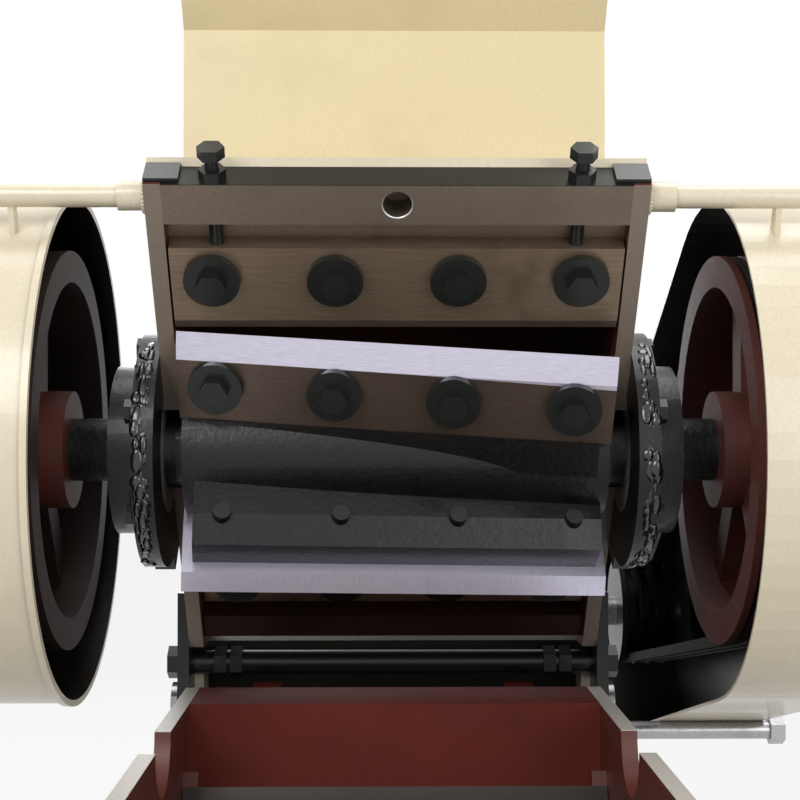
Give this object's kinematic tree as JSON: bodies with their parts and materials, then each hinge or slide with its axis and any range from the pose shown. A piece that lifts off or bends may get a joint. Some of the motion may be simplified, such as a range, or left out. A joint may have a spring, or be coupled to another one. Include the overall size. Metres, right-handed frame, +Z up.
{
  "type": "plastic granulator",
  "caption": "Plastic granulator with a slanted-knife rotor between fixed knives, a hinged front door with its screen, belt drive, flywheel, hopper and bin.",
  "frame": {"origin": "on the floor, in the middle of the four anchor holes of the feet", "axes": "+X along the rotor towards the belt drive, +Y away from the operator, +Z up"},
  "size_m": [0.871, 1.2204, 1.62],
  "materials": {
    "cream_paint": "gloss enamel",
    "red_primer": "satin oxide primer",
    "machined_steel": "machined",
    "knife_steel": "ground",
    "black_steel": "black oxide, oily",
    "rotor_steel": "dark, greasy",
    "housing_iron": "black cast iron",
    "belt_rubber": "matt rubber",
    "motor_paint": "satin paint",
    "bright_steel": "bright",
    "zinc_sheet": "plain sheet"
  },
  "bodies": {
    "machine": {"base_left_panel": "cream_paint", "base_right_panel": "cream_paint", "base_floor_plate": "cream_paint", "base_mid_panel": "cream_paint", "base_rear_panel": "cream_paint", "base_deck": "cream_paint", "motor_platform": "cream_paint", "feet": "black_steel", "left_side_plate": "red_primer", "right_side_plate": "red_primer", "top_beam": "machined_steel", "lower_knife_beam": "red_primer", "rear_wall": "red_primer", "throat_deck": "cream_paint", "upper_fixed_knife": "knife_steel", "lower_fixed_knife": "knife_steel", "fixed_knife_washers": "black_steel", "fixed_knife_bolts": "black_steel", "adjusting_bolts": "black_steel", "adjusting_lock_nuts": "black_steel", "beam_end_blocks": "black_steel", "left_bearing_housing": "housing_iron", "right_bearing_housing": "housing_iron", "left_bearing": "bright_steel", "right_bearing": "bright_steel", "bearing_housing_bolts": "black_steel", "drive_belts": "belt_rubber", "motor_housing": "motor_paint", "motor_fan_cover": "motor_paint", "motor_terminal_box": "motor_paint", "left_guard": "cream_paint", "belt_guard": "cream_paint", "left_top_pipe": "cream_paint", "right_top_pipe": "cream_paint", "right_lower_pipe": "machined_steel", "hopper": "cream_paint", "flap_pin": "bright_steel", "hinge_lugs": "black_steel", "hinge_pin": "bright_steel", "tie_rod": "black_steel"},
    "rotor": {"rotor_body": "rotor_steel", "rotor_knife_1": "knife_steel", "rotor_knife_2": "knife_steel", "rotor_knife_3": "knife_steel", "rotor_knife_washers": "black_steel", "rotor_knife_bolts": "black_steel", "flywheel": "red_primer", "driven_pulley": "red_primer"},
    "motor_rotor": {"motor_shaft": "bright_steel", "motor_pulley": "housing_iron"},
    "front_door": {"door_left_cheek": "red_primer", "door_right_cheek": "red_primer", "door_end_wall": "red_primer", "door_cover": "cream_paint", "door_top_bar": "machined_steel", "screen": "zinc_sheet"},
    "lock_bolt": {"locking_bolt": "black_steel"},
    "feed_flap": {"feed_flap": "black_steel"},
    "bin": {"granulate_bin": "zinc_sheet"}
  },
  "joints": [
    {"name": "rotor_spin", "type": "hinge", "parent": "machine", "child": "rotor", "pos_m": [0, -0.185, 0.85], "axis": [1, 0, 0], "continuous": true},
    {"name": "motor_spin", "type": "hinge", "parent": "machine", "child": "motor_rotor", "pos_m": [0, 0.435, 0.62], "axis": [1, 0, 0], "continuous": true},
    {"name": "front_door_hinge", "type": "hinge", "parent": "machine", "child": "front_door", "pos_m": [0, -0.00153, 0.57456], "axis": [1, 0, 0], "range_deg": [-52, 0]},
    {"name": "lock_bolt_slide", "type": "slide", "parent": "front_door", "child": "lock_bolt", "axis": [0, 0, 1], "range_m": [0, 0.0295]},
    {"name": "feed_flap_swing", "type": "hinge", "parent": "machine", "child": "feed_flap", "pos_m": [0, -0.283, 1.604], "axis": [1, 0, 0], "range_deg": [0, 55]},
    {"name": "bin_slide", "type": "slide", "parent": "machine", "child": "bin", "axis": [0, -1, 0], "range_m": [0, 0.42]}
  ],
  "couplings": [
    {"joint": "motor_spin", "follows": "rotor_spin", "ratio": 2.6571}
  ]
}
